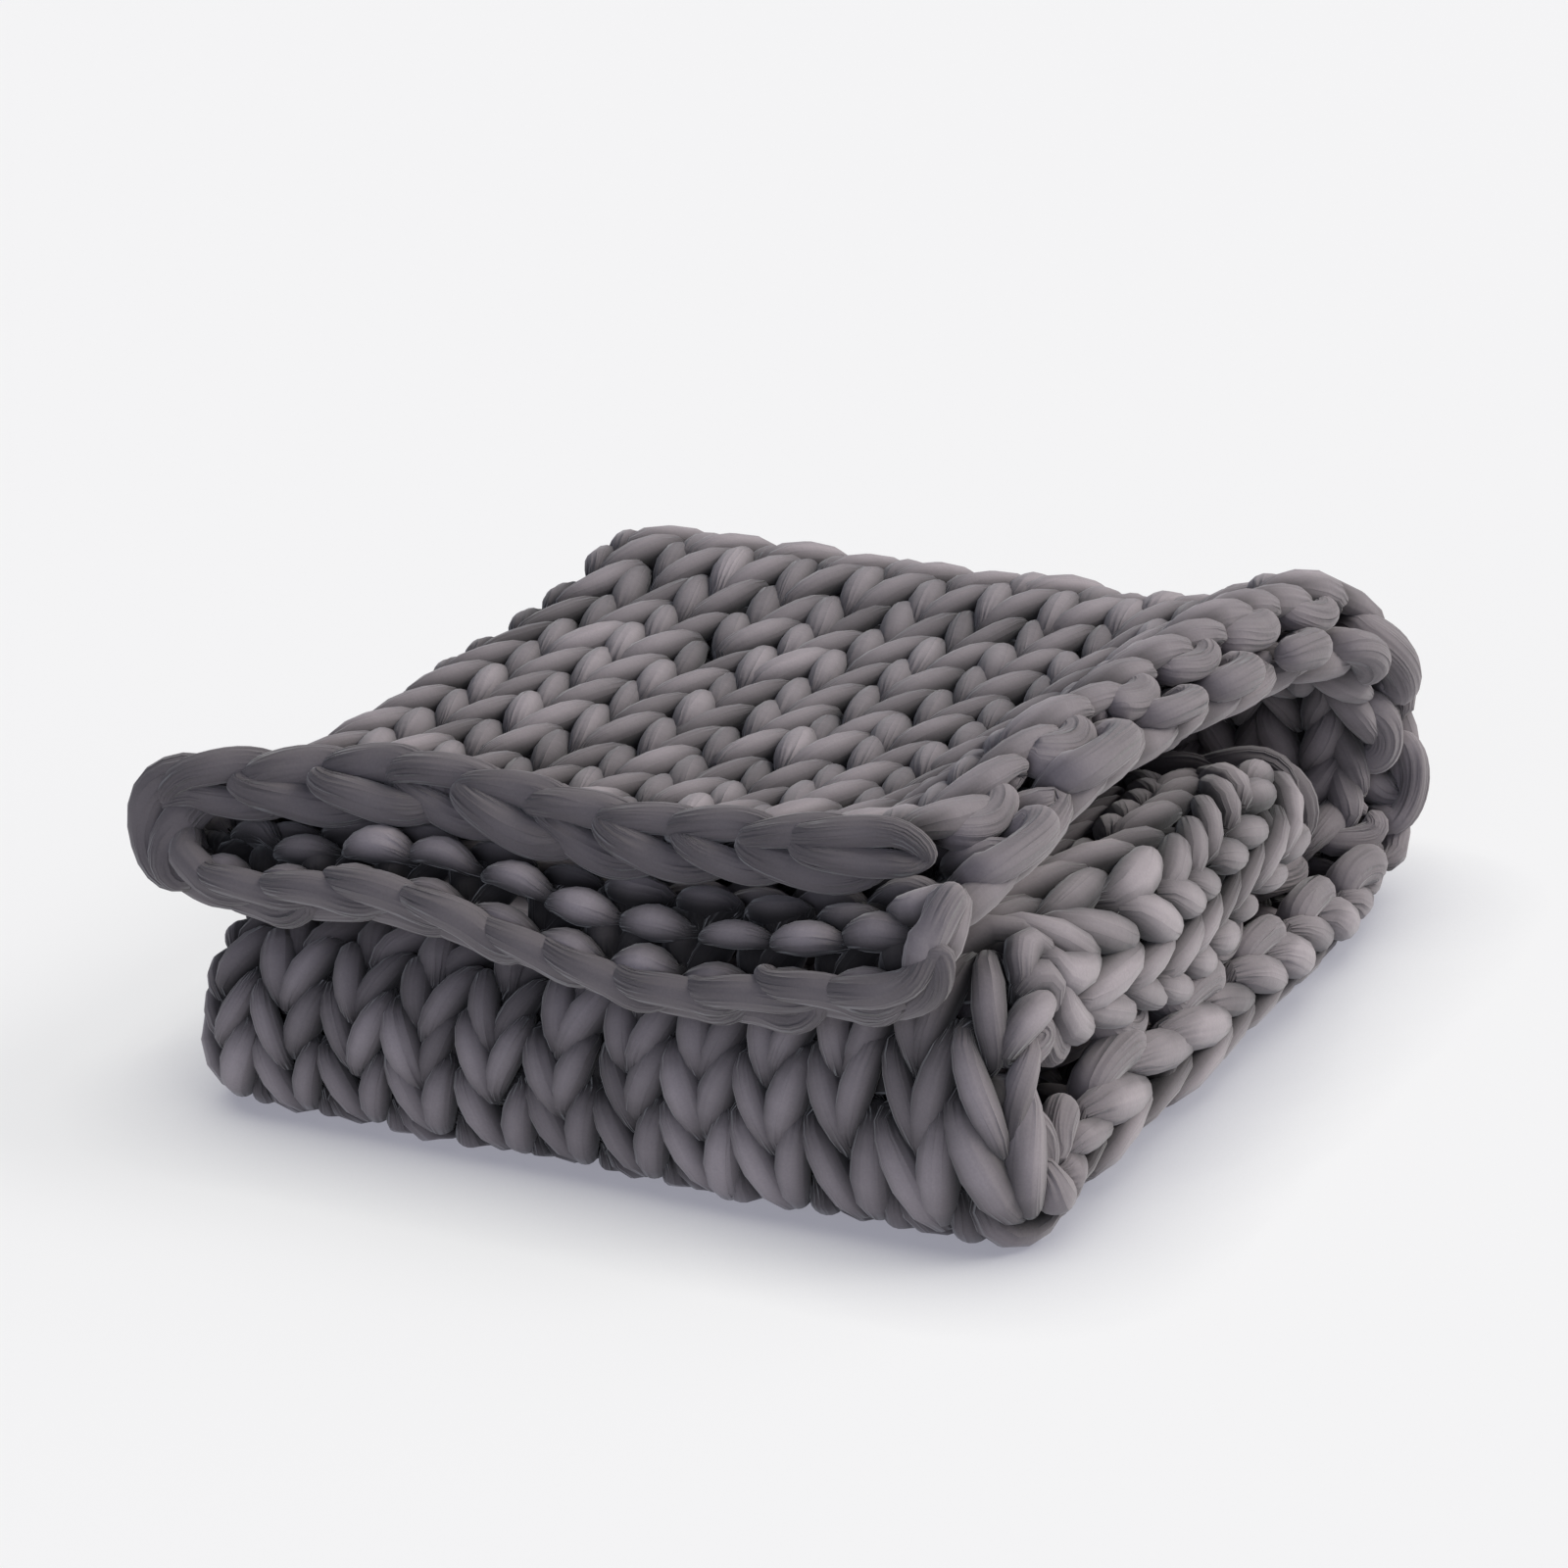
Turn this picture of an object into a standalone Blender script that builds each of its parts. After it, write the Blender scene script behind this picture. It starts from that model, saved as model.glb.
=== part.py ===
"""Weighted blanket: one chunky hand-knitted throw, folded for a shelf or the end of a bed.

The throw is a single sheet of thick knitting. It is doubled lengthwise, so that its fold runs
down the left side and its two selvages lie together on the right, and then folded in three:
a middle run that ends inside the back turn, a front turn, a bottom run, a back turn and a top
run whose open end is the flap at the front. Layer A is always the outer one of the doubled
pair and layer B the inner one. Metres, +Z up, front towards -Y, origin under the middle.
"""

import math

import bmesh
import bpy
import numpy as np

# ---- Driving sizes, metres
THICKNESS = 0.0265          # one knitted layer, pressed by the layers above it
TURN_RADIUS = 0.030         # how tightly a selvage rolls over
TURN_LIMIT = math.radians(95)   # a rolled selvage hangs straight down past this angle
RIM_BULGE = 0.007           # how far the rounded edges stand out past the flat faces
RESTS_BELOW = 0.004         # whatever is lower than this lies flat on the surface
CENTRE = (0.2581, 0.2878)   # middle of the folded throw, measured from its left front corner

# ---- Mesh density
FLAT_STEPS = 9              # steps across each layer, between the selvage roll and the fold
FOLD_STEPS = 6              # steps round the left fold
FOLD_SHARE = 0.055          # share of the width, either side of the middle, that the fold takes
ROLL_SHARE = 0.085          # share of the width that each rolled selvage takes
ROLL_STEPS = 3              # steps round each rolled selvage
STEPS_PER_COURSE = 1.35     # steps along the throw for each row of knitting

# ---- Where the raised right edge starts to show, and the hollow beside it
EDGE_POWER = 5              # the lift grows with this power of the distance from the left
RAISED_AT = 0.50            # where it is full, and levels off
LEVELLING = 0.03            # how gently it levels off
SPREAD_POWER = 3            # the layers spread apart with this power of the same distance
HOLLOW_AT = 0.76            # share of the width where the hollow is deepest
HOLLOW_WIDTH = 0.10
ARCH_AT = 0.30              # the same for the wave near the left end
ARCH_WIDTH = 0.20
SAG_AT = 0.62               # the same for the droop of layer B along the flap
SAG_WIDTH = 0.24
SLIP = 1.0                  # courses by which layer A falls behind layer B at the flap
SLIP_FROM = 30.0            # course where it starts to fall behind
SLIP_WIDTH = 0.26           # share of the strip across which that dies out, round the left fold

# ---- The folds: the path of the doubled strip, a row for each section, in order along it.
# course          row of knitting, counted from the end that is tucked into the back turn
# y, z            path of the strip, between its two layers
# lift_l, lift_r  how far the left and right edges stand above that path
# hollow          depth of the hollow beside the raised right edge
# arch            height of the wave near the left end of the flap
# lean            degrees by which the layers are shifted past each other
PATH_COLUMNS = ("course", "y", "z", "lift_l", "lift_r", "hollow", "arch", "lean")
PATH = {
    "tucked end":     (0.0, .462, .0873, .000, .030, .000, .000, 0),
    "middle back":    (2.5, .350, .0873, .000, .058, .000, .000, 0),
    "middle front":   (7.4, .140, .0873, .000, .072, .000, .000, 0),
    "middle end":     (9.3, .038, .0873, .000, .074, .000, .000, 0),
    "front turn in":  (9.6, .032, .0873, .000, .074, .000, .000, 0),
    "front turn top": (10.9, .008, .0787, .000, .066, .000, .000, 0),
    "front turn":     (12.2, -.001, .0578, .000, .044, .000, .000, 0),
    "front turn low": (13.5, .008, .0369, .000, .014, .000, .000, 0),
    "bottom front":   (14.8, .032, .0283, .000, .000, .000, .000, 0),
    "bottom start":   (15.1, .038, .0283, .000, .000, .000, .000, 0),
    "bottom middle":  (19.9, .300, .0283, .000, .000, .000, .000, 0),
    "bottom back":    (25.0, .551, .0283, .000, .000, .000, .000, 0),
    "back low":       (26.3, .601, .0492, .000, .000, .000, .000, 0),
    "back":           (27.6, .622, .0992, .000, .002, .000, .000, 0),
    "back high":      (28.9, .601, .1492, .000, .016, .004, .000, 0),
    "top back":       (30.0, .551, .1700, .000, .036, .008, .000, 0),
    "top fall":       (32.1, .450, .1600, .000, .078, .010, .000, 0),
    "top middle":     (35.2, .300, .1500, .000, .106, .010, .000, 0),
    "top dip":        (39.0, .119, .1490, .000, .112, .006, .000, -6),
    "flap":           (40.3, .048, .1613, -.002, .082, .002, .004, -1),
    "flap curl":      (41.2, -.003, .1863, -.008, .048, .000, .012, -9),
    "flap rise":      (41.8, -.030, .1996, -.013, .030, .000, .018, -8),
    "flap fall":      (42.3, -.047, .2011, -.014, .024, .000, .018, 3),
    "flap end":       (42.8, -.063, .2015, -.015, .018, .000, .018, 1),
}

# ---- The two layers at each of those sections.
# a_l, a_r        layer A's distance from the path, left and right
# b_l, b_r        layer B's distance from the path, left and right
# sag_b           droop of layer B between its ends
# fold_x          the left fold; reach_a, reach_b are where the two selvages get to
# roll_a, roll_b  length of selvage that rolls over towards the other layer
LAYER_COLUMNS = ("a_l", "a_r", "b_l", "b_r", "sag_b",
                 "fold_x", "reach_a", "reach_b", "roll_a", "roll_b")
LAYERS = {
    "tucked end":     (.0148, .0170, .0148, .0170, .000, .010, .516, .490, .050, .004),
    "middle back":    (.0148, .0180, .0148, .0190, .000, .006, .524, .476, .093, .004),
    "middle front":   (.0148, .0190, .0148, .0220, .000, .004, .532, .470, .102, .004),
    "middle end":     (.0152, .0198, .0130, .0165, .000, .004, .526, .470, .070, .004),
    "front turn in":  (.0155, .0200, .0126, .0150, .000, .006, .526, .470, .058, .004),
    "front turn top": (.0175, .0220, .0108, .0118, .000, .009, .526, .474, .050, .004),
    "front turn":     (.0190, .0260, .0108, .0112, .000, .012, .528, .476, .048, .004),
    "front turn low": (.0270, .0360, .0108, .0116, .000, .011, .538, .474, .050, .004),
    "bottom front":   (.0170, .0185, .0122, .0150, .000, .008, .538, .470, .054, .004),
    "bottom start":   (.0167, .0180, .0124, .0160, .000, .007, .537, .470, .058, .004),
    "bottom middle":  (.0150, .0150, .0150, .0340, .000, .004, .530, .470, .066, .004),
    "bottom back":    (.0150, .0150, .0150, .0240, .000, .004, .520, .484, .038, .004),
    "back low":       (.0148, .0190, .0148, .0190, .000, .004, .520, .504, .020, .010),
    "back":           (.0148, .0190, .0148, .0190, .000, .002, .518, .508, .014, .010),
    "back high":      (.0148, .0200, .0148, .0200, .000, -.002, .512, .508, .016, .010),
    "top back":       (.0148, .0210, .0148, .0210, .000, -.006, .500, .508, .020, .012),
    "top fall":       (.0148, .0220, .0148, .0210, .000, -.013, .494, .506, .022, .012),
    "top middle":     (.0148, .0220, .0148, .0200, .000, -.020, .486, .506, .022, .012),
    "top dip":        (.0152, .0218, .0149, .0179, .000, -.020, .476, .504, .022, .012),
    "flap":           (.0160, .0210, .0151, .0181, .000, -.012, .473, .502, .022, .016),
    "flap curl":      (.0180, .0230, .0165, .0205, .000, -.010, .471, .500, .022, .024),
    "flap rise":      (.0196, .0246, .0204, .0254, .002, -.009, .470, .499, .021, .034),
    "flap fall":      (.0200, .0250, .0314, .0364, .008, -.009, .470, .499, .021, .038),
    "flap end":       (.0200, .0250, .0456, .0506, .016, -.010, .469, .498, .020, .042),
}
COLUMNS = PATH_COLUMNS + LAYER_COLUMNS

KNITTED = (0.110, 0.100, 0.108, 1.0)    # dark warm grey cotton
ROUGHNESS = 0.9


def fold_column(name):
    """One column of the table of folds, as an array."""
    columns, rows = (PATH_COLUMNS, PATH) if name in PATH_COLUMNS else (LAYER_COLUMNS, LAYERS)
    place = columns.index(name)
    return np.array([row[place] for row in rows.values()], dtype=float)


def smooth_column(name, course):
    """A column's value at any course, on a smooth curve through the rows of the table."""
    knots = fold_column("course")
    values = fold_column(name)
    apart = np.diff(knots)
    rise = np.diff(values) / apart
    inner = (rise[:-1] * apart[1:] + rise[1:] * apart[:-1]) / (apart[:-1] + apart[1:])
    slopes = np.concatenate([rise[:1], inner, rise[-1:]])
    row = np.clip(np.searchsorted(knots, course, side="right") - 1, 0, len(knots) - 2)
    step = apart[row]
    t = (course - knots[row]) / step
    return ((2 * t**3 - 3 * t**2 + 1) * values[row]
            + (t**3 - 2 * t**2 + t) * step * slopes[row]
            + (3 * t**2 - 2 * t**3) * values[row + 1]
            + (t**3 - t**2) * step * slopes[row + 1])


def rolled(distance):
    """How far out and how far over a selvage has gone, this far past its flat part."""
    angle = np.minimum(distance / TURN_RADIUS, TURN_LIMIT)
    straight = np.maximum(distance - TURN_RADIUS * TURN_LIMIT, 0.0)
    out = TURN_RADIUS * np.sin(angle) + straight * np.cos(angle)
    over = TURN_RADIUS * (1.0 - np.cos(angle)) + straight * np.sin(angle)
    return out, over


def roll_width(length):
    """How much of a selvage's reach its roll takes up."""
    widest = np.minimum(length / TURN_RADIUS, math.pi / 2)
    return TURN_RADIUS * np.sin(widest)


def cross_section(u, fold, a, b):
    """Place across the strip at u: 0 is layer A's selvage, 0.5 the left fold, 1 layer B's selvage.

    Returns x and the distance from the path, which is positive on layer A's side.
    """
    radius = (a + b) / 2
    fold_centre = fold["fold_x"] + radius
    flat_a = fold["reach_a"] - roll_width(fold["roll_a"]) - fold_centre
    flat_b = fold["reach_b"] - roll_width(fold["roll_b"]) - fold_centre
    quarter = math.pi * radius / 2
    length_a = fold["roll_a"] + flat_a + quarter
    length_b = fold["roll_b"] + flat_b + quarter
    from_fold = np.where(u < 0.5, (1 - 2 * u) * length_a, (2 * u - 1) * length_b)
    flat = np.where(u < 0.5, flat_a, flat_b)
    angle = np.minimum(from_fold / radius, math.pi / 2)
    along_flat = np.clip(from_fold - quarter, 0.0, flat)
    out, over = rolled(np.maximum(from_fold - quarter - flat, 0.0))
    x = fold_centre - radius * np.cos(angle) + along_flat + out
    height = radius * np.sin(angle) - over
    return x, np.where(u < 0.5, height, -height) + (a - b) / 2


def slipped(u, course):
    """Section of the fold where a course lies: the outer layer has further to go round the back."""
    behind = SLIP * np.clip((course - SLIP_FROM) / (fold_column("course")[-1] - SLIP_FROM), 0.0, None)
    share = np.clip(0.5 + (0.5 - u) / SLIP_WIDTH, 0.0, 1.0)
    return course - behind * (3 * share**2 - 2 * share**3)


def sheet(u, course):
    """Middle of the knitting's thickness, at place u across and this course along."""
    u, course = np.broadcast_arrays(np.asarray(u, dtype=float), np.asarray(course, dtype=float))
    course = slipped(u, course)
    fold = {name: smooth_column(name, course) for name in COLUMNS}
    near = 0.02
    run_y = smooth_column("y", course + near) - smooth_column("y", course - near)
    run_z = smooth_column("z", course + near) - smooth_column("z", course - near)
    run = np.hypot(run_y, run_z)
    lean = np.radians(fold["lean"])
    out_y = (run_z * np.cos(lean) - run_y * np.sin(lean)) / run
    out_z = (-run_y * np.cos(lean) - run_z * np.sin(lean)) / run

    from_fold = np.clip((np.abs(2 * u - 1) - 0.15) / 0.85, 0.0, 1.0)
    right = from_fold**SPREAD_POWER
    droop = fold["sag_b"] * np.exp(-((from_fold - SAG_AT) / SAG_WIDTH) ** 2) * (u > 0.5)
    a = fold["a_l"] * (1 - right) + fold["a_r"] * right
    b = fold["b_l"] * (1 - right) + fold["b_r"] * right + droop
    x, from_path = cross_section(u, fold, a, b)

    share = 1.0 - LEVELLING * np.logaddexp(0.0, (1.0 - x / RAISED_AT) / LEVELLING)
    share = np.maximum(share, 0.0)
    lift = (fold["lift_l"] * (1 - share) ** 2 + fold["lift_r"] * share**EDGE_POWER
            - fold["hollow"] * np.exp(-((share - HOLLOW_AT) / HOLLOW_WIDTH) ** 2)
            + fold["arch"] * np.exp(-((share - ARCH_AT) / ARCH_WIDTH) ** 2))
    y = fold["y"] + out_y * from_path
    z = fold["z"] + out_z * from_path + lift
    return np.stack([x - CENTRE[0], y - CENTRE[1], z], axis=-1)


def steps_across():
    """Places across the strip, closer together on the left fold and on the rolled selvages."""
    roll = np.linspace(0.0, ROLL_SHARE, ROLL_STEPS + 1)
    flat = np.linspace(ROLL_SHARE, 0.5 - FOLD_SHARE / 2, FLAT_STEPS + 1)
    fold = np.linspace(0.5 - FOLD_SHARE / 2, 0.5 + FOLD_SHARE / 2, FOLD_STEPS + 1)
    half = np.concatenate([roll, flat[1:]])
    return np.concatenate([half, fold[1:-1], (1 - half)[::-1]])


def knitted_layer():
    """Grids of points: outer face, inner face and the middle of the thickness."""
    courses = fold_column("course")
    along = np.linspace(courses[0], courses[-1], round(courses[-1] * STEPS_PER_COURSE) + 1)
    u, course = np.meshgrid(steps_across(), along, indexing="ij")
    middle = sheet(u, course)
    near = 0.002
    across_way = sheet(u + near, course) - sheet(u - near, course)
    along_way = sheet(u, course + near) - sheet(u, course - near)
    outward = np.cross(across_way, along_way)
    outward /= np.linalg.norm(outward, axis=-1, keepdims=True)
    outer = middle + outward * THICKNESS / 2
    inner = middle - outward * THICKNESS / 2
    return outer, inner, middle


def rounded_edge(edge, next_in):
    """Middle line of an edge, pushed out past it so that the edge is rounded."""
    way = edge - next_in
    way /= np.linalg.norm(way, axis=-1, keepdims=True)
    return edge + way * RIM_BULGE


def closed_mesh(outer, inner, middle):
    """One closed body from the two faces and the four rounded edges."""
    selvage_a = rounded_edge(middle[0], middle[1])
    selvage_b = rounded_edge(middle[-1], middle[-2])
    tucked_end = rounded_edge(middle[:, 0], middle[:, 1])
    flap_end = rounded_edge(middle[:, -1], middle[:, -2])
    groups = [outer, inner, selvage_a, selvage_b, tucked_end, flap_end]

    mesh = bmesh.new()
    grids = []
    for group in groups:
        points = np.array(group).reshape(-1, 3)
        points[:, 2] = np.where(points[:, 2] < RESTS_BELOW, 0.0, points[:, 2])
        verts = [mesh.verts.new(point) for point in points]
        grids.append(np.array(verts, dtype=object).reshape(group.shape[:-1]))
    outer_v, inner_v, sel_a, sel_b, end_t, end_f = grids

    def strip(first, second):
        for here, after in zip(range(len(first) - 1), range(1, len(first))):
            mesh.faces.new((first[here], first[after], second[after], second[here]))

    for here in range(len(outer_v) - 1):
        strip(outer_v[here], outer_v[here + 1])
        strip(inner_v[here + 1], inner_v[here])
    strip(sel_a, outer_v[0])
    strip(inner_v[0], sel_a)
    strip(outer_v[-1], sel_b)
    strip(sel_b, inner_v[-1])
    strip(outer_v[:, 0], end_t)
    strip(end_t, inner_v[:, 0])
    strip(end_f, outer_v[:, -1])
    strip(inner_v[:, -1], end_f)
    for side, selvage in ((0, sel_a), (-1, sel_b)):
        for end, edge in ((0, end_t), (-1, end_f)):
            corner = [selvage[end], edge[side]]
            mesh.faces.new((outer_v[side, end], *corner))
            mesh.faces.new((inner_v[side, end], *reversed(corner)))
    bmesh.ops.recalc_face_normals(mesh, faces=mesh.faces)
    bmesh.ops.triangulate(mesh, faces=mesh.faces)
    return mesh


def knitted_material():
    """Matt dark grey cotton."""
    material = bpy.data.materials.new("knitted_cotton")
    material.use_nodes = True
    shader = material.node_tree.nodes["Principled BSDF"]
    shader.inputs["Base Color"].default_value = KNITTED
    shader.inputs["Roughness"].default_value = ROUGHNESS
    shader.inputs["Metallic"].default_value = 0.0
    return material


def blanket():
    """The folded throw."""
    mesh = closed_mesh(*knitted_layer())
    data = bpy.data.meshes.new("blanket")
    mesh.to_mesh(data)
    mesh.free()
    data.materials.append(knitted_material())
    data.shade_smooth()
    bpy.context.scene.collection.objects.link(bpy.data.objects.new("blanket", data))


for old in list(bpy.data.objects):
    bpy.data.objects.remove(old)
blanket()
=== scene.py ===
"""Visual model of a folded, chunky hand-knitted weighted blanket.

The blanket is knitted from one fat strand: a tube of cotton jersey with a soft filling. This
script lays that strand along the folded sheet of the CAD model, stitch by stitch, with a chain
of links along the cast-on and cast-off edges. Metres, in the CAD model's own frame.
"""

import math

import bpy
import numpy as np
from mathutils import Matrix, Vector


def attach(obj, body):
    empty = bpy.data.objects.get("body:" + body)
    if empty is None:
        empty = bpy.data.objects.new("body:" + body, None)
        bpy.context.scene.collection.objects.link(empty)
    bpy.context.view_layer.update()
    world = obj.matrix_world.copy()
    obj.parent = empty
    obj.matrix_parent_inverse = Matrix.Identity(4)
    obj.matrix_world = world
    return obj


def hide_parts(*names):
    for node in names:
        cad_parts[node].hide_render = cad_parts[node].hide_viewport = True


# ---- The folded sheet, as the CAD model has it
CENTRE = (0.2581, 0.2878)   # middle of the folded throw, measured from its left front corner
TURN_RADIUS = 0.030         # radius of the roll along a selvage
TURN_LIMIT = math.radians(95)   # how far round that roll goes before it runs straight
LEFT_FOLD = 0.15            # share of a layer beside the left fold that keeps the left distances
SPREAD_POWER = 3            # how late the layers' distances change from left to right
RAISED_AT = 0.50            # place from the left where the raised right edge is fully up, in metres
EDGE_POWER = 5              # how late the right edge starts to rise
LEVELLING = 0.03            # how softly that rise ends
HOLLOW_AT = 0.76            # middle of the hollow beside the raised edge, as a share of the way to it
HOLLOW_WIDTH = 0.10
ARCH_AT = 0.30              # middle of the wave near the left end of the flap, as such a share
ARCH_WIDTH = 0.20
SAG_AT = 0.62               # middle of layer B's droop, as a share of the way from the fold
SAG_WIDTH = 0.24
SLIP = 1.0                  # courses by which layer A falls behind layer B at the flap
SLIP_FROM = 30.0            # course where it starts to fall behind
SLIP_WIDTH = 0.26           # share of the strip across which that dies out, round the left fold
PATH_STEP = 0.02            # courses either side over which the path's direction is measured
COURSE_STEP = 0.15          # the same for the sheet's direction along it
SIDE_STEP = 0.006           # and across it, as a share of the strip

# ---- The folds: the path of the doubled strip, a row for each section, in order along it.
# course          row of knitting, counted from the end that is tucked into the back turn
# y, z            path of the strip, between its two layers
# lift_l, lift_r  how far the left and right edges stand above that path
# hollow          depth of the hollow beside the raised right edge
# arch            height of the wave near the left end of the flap
# lean            degrees by which the layers are shifted past each other
PATH_COLUMNS = ("course", "y", "z", "lift_l", "lift_r", "hollow", "arch", "lean")
PATH = {
    "tucked end":     (0.0, .462, .0873, .000, .030, .000, .000, 0),
    "middle back":    (2.5, .350, .0873, .000, .058, .000, .000, 0),
    "middle front":   (7.4, .140, .0873, .000, .072, .000, .000, 0),
    "middle end":     (9.3, .038, .0873, .000, .074, .000, .000, 0),
    "front turn in":  (9.6, .032, .0873, .000, .074, .000, .000, 0),
    "front turn top": (10.9, .008, .0787, .000, .066, .000, .000, 0),
    "front turn":     (12.2, -.001, .0578, .000, .044, .000, .000, 0),
    "front turn low": (13.5, .008, .0369, .000, .014, .000, .000, 0),
    "bottom front":   (14.8, .032, .0283, .000, .000, .000, .000, 0),
    "bottom start":   (15.1, .038, .0283, .000, .000, .000, .000, 0),
    "bottom middle":  (19.9, .300, .0283, .000, .000, .000, .000, 0),
    "bottom back":    (25.0, .551, .0283, .000, .000, .000, .000, 0),
    "back low":       (26.3, .601, .0492, .000, .000, .000, .000, 0),
    "back":           (27.6, .622, .0992, .000, .002, .000, .000, 0),
    "back high":      (28.9, .601, .1492, .000, .016, .004, .000, 0),
    "top back":       (30.0, .551, .1700, .000, .036, .008, .000, 0),
    "top fall":       (32.1, .450, .1600, .000, .078, .010, .000, 0),
    "top middle":     (35.2, .300, .1500, .000, .106, .010, .000, 0),
    "top dip":        (39.0, .119, .1490, .000, .112, .006, .000, -6),
    "flap":           (40.3, .048, .1613, -.002, .082, .002, .004, -1),
    "flap curl":      (41.2, -.003, .1863, -.008, .048, .000, .012, -9),
    "flap rise":      (41.8, -.030, .1996, -.013, .030, .000, .018, -8),
    "flap fall":      (42.3, -.047, .2011, -.014, .024, .000, .018, 3),
    "flap end":       (42.8, -.063, .2015, -.015, .018, .000, .018, 1),
}

# ---- The two layers at each of those sections.
# a_l, a_r        layer A's distance from the path, left and right
# b_l, b_r        layer B's distance from the path, left and right
# sag_b           droop of layer B between its ends
# fold_x          the left fold; reach_a, reach_b are where the two selvages get to
# roll_a, roll_b  length of selvage that rolls over towards the other layer
LAYER_COLUMNS = ("a_l", "a_r", "b_l", "b_r", "sag_b",
                 "fold_x", "reach_a", "reach_b", "roll_a", "roll_b")
LAYERS = {
    "tucked end":     (.0148, .0170, .0148, .0170, .000, .010, .516, .490, .050, .004),
    "middle back":    (.0148, .0180, .0148, .0190, .000, .006, .524, .476, .093, .004),
    "middle front":   (.0148, .0190, .0148, .0220, .000, .004, .532, .470, .102, .004),
    "middle end":     (.0152, .0198, .0130, .0165, .000, .004, .526, .470, .070, .004),
    "front turn in":  (.0155, .0200, .0126, .0150, .000, .006, .526, .470, .058, .004),
    "front turn top": (.0175, .0220, .0108, .0118, .000, .009, .526, .474, .050, .004),
    "front turn":     (.0190, .0260, .0108, .0112, .000, .012, .528, .476, .048, .004),
    "front turn low": (.0270, .0360, .0108, .0116, .000, .011, .538, .474, .050, .004),
    "bottom front":   (.0170, .0185, .0122, .0150, .000, .008, .538, .470, .054, .004),
    "bottom start":   (.0167, .0180, .0124, .0160, .000, .007, .537, .470, .058, .004),
    "bottom middle":  (.0150, .0150, .0150, .0340, .000, .004, .530, .470, .066, .004),
    "bottom back":    (.0150, .0150, .0150, .0240, .000, .004, .520, .484, .038, .004),
    "back low":       (.0148, .0190, .0148, .0190, .000, .004, .520, .504, .020, .010),
    "back":           (.0148, .0190, .0148, .0190, .000, .002, .518, .508, .014, .010),
    "back high":      (.0148, .0200, .0148, .0200, .000, -.002, .512, .508, .016, .010),
    "top back":       (.0148, .0210, .0148, .0210, .000, -.006, .500, .508, .020, .012),
    "top fall":       (.0148, .0220, .0148, .0210, .000, -.013, .494, .506, .022, .012),
    "top middle":     (.0148, .0220, .0148, .0200, .000, -.020, .486, .506, .022, .012),
    "top dip":        (.0152, .0218, .0149, .0179, .000, -.020, .476, .504, .022, .012),
    "flap":           (.0160, .0210, .0151, .0181, .000, -.012, .473, .502, .022, .016),
    "flap curl":      (.0180, .0230, .0165, .0205, .000, -.010, .471, .500, .022, .024),
    "flap rise":      (.0196, .0246, .0204, .0254, .002, -.009, .470, .499, .021, .034),
    "flap fall":      (.0200, .0250, .0314, .0364, .008, -.009, .470, .499, .021, .038),
    "flap end":       (.0200, .0250, .0456, .0506, .016, -.010, .469, .498, .020, .042),
}
COLUMNS = PATH_COLUMNS + LAYER_COLUMNS

# ---- The knitting. A wale is a column of stitches and a row is one line of them.
WALES = 22
FIRST_ROW = 1.15            # course at the middle of the first row
ROW_STEP = 0.987            # courses from one row to the next
SWING = 0.31                # how far a stitch's legs splay, in wales
CLOSE_UP = 0.03             # how far both legs move in towards each other, in wales
REACH = 0.92                # how far a stitch reaches up and down, in rows
FLATTEN = 0.20              # how much its head and its foot are flattened
RELIEF = 0.0066             # how far the legs stand out of the sheet, and the heads behind it
STEEPEN = 0.15              # how much more suddenly the strand goes from one side to the other
STRAND = 0.0090             # half-width of the strand
PLUMP = 0.0030              # how much plumper it is between two pinched places
TAPER = 0.0006              # how much thinner it is at the pointed end of a leg
THIN = 0.92                 # its thickness as a share of its width
SELVAGE_BULGE = 0.22        # how far the strand swings out where it turns into the next row
TURN_PLACE = 0.25           # length of that turn, with a stitch as 1
ROUND_END = (0.30, 0.70, 0.92)  # how the strand narrows over the last steps before an end
PITCH = 0.048               # length of a course that isn't stretched
STRETCHES = (0.9, 1.2)      # least and greatest stretch that the strand follows
STRETCH_POWER = 0.6         # how much plumper the strand is where its courses are stretched
CROWDING = 0.60             # how far layer B's last rows are pushed towards the chain, in courses
CROWD_COURSES = (36.0, 40.5, 41.4, 42.7)    # where that starts, is full, starts to ease and ends
CROWD_WIDTH = 0.10          # share of the sheet over which it comes in, beside the left fold

# ---- How much the stitches differ from one another
DRIFT_SPACING = 0.5         # stitches from one random value to the next
WALE_DRIFT = 0.075          # sideways, in wales
COURSE_DRIFT = 0.140        # up and down, in courses
DEPTH_DRIFT = 0.0024        # in and out of the sheet
SIZE_DRIFT = 0.20           # in the width of the strand, as a share

# ---- The chain along the two ends
CAST_ON = 42.60             # course of the chain along the flap
CAST_OFF = 0.40             # course of the chain along the tucked end
LINK_REACH = 0.80           # half the length of a link, in wales
LINK_OVER = 0.05            # how far the outermost links reach past the selvages, in wales
LINK_GAPE = 0.0118          # half the gap between a link's two legs
SHUT_GAPE = 0.65            # how much of that gap is left in the first link
LINK_TEARDROP = 0.55        # how much narrower a link is at its pointed end
LINK_TILT = 0.0040          # how far its pointed end stands up past the sheet
LINK_STAND = 0.13           # how far its legs stand out past the edge, in courses
LINK_DIP = (0.6, 0.4)       # how far its two ends sink below its legs, in a slow and a quick wave
LINK_STRAND = 0.0092        # half-width of the strand in a link
LINK_PINCH = 0.20           # how much thinner it is at its two ends
LINK_STEPS = 36             # points along a link
LINK_RING = 20              # points round its strand

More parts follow.
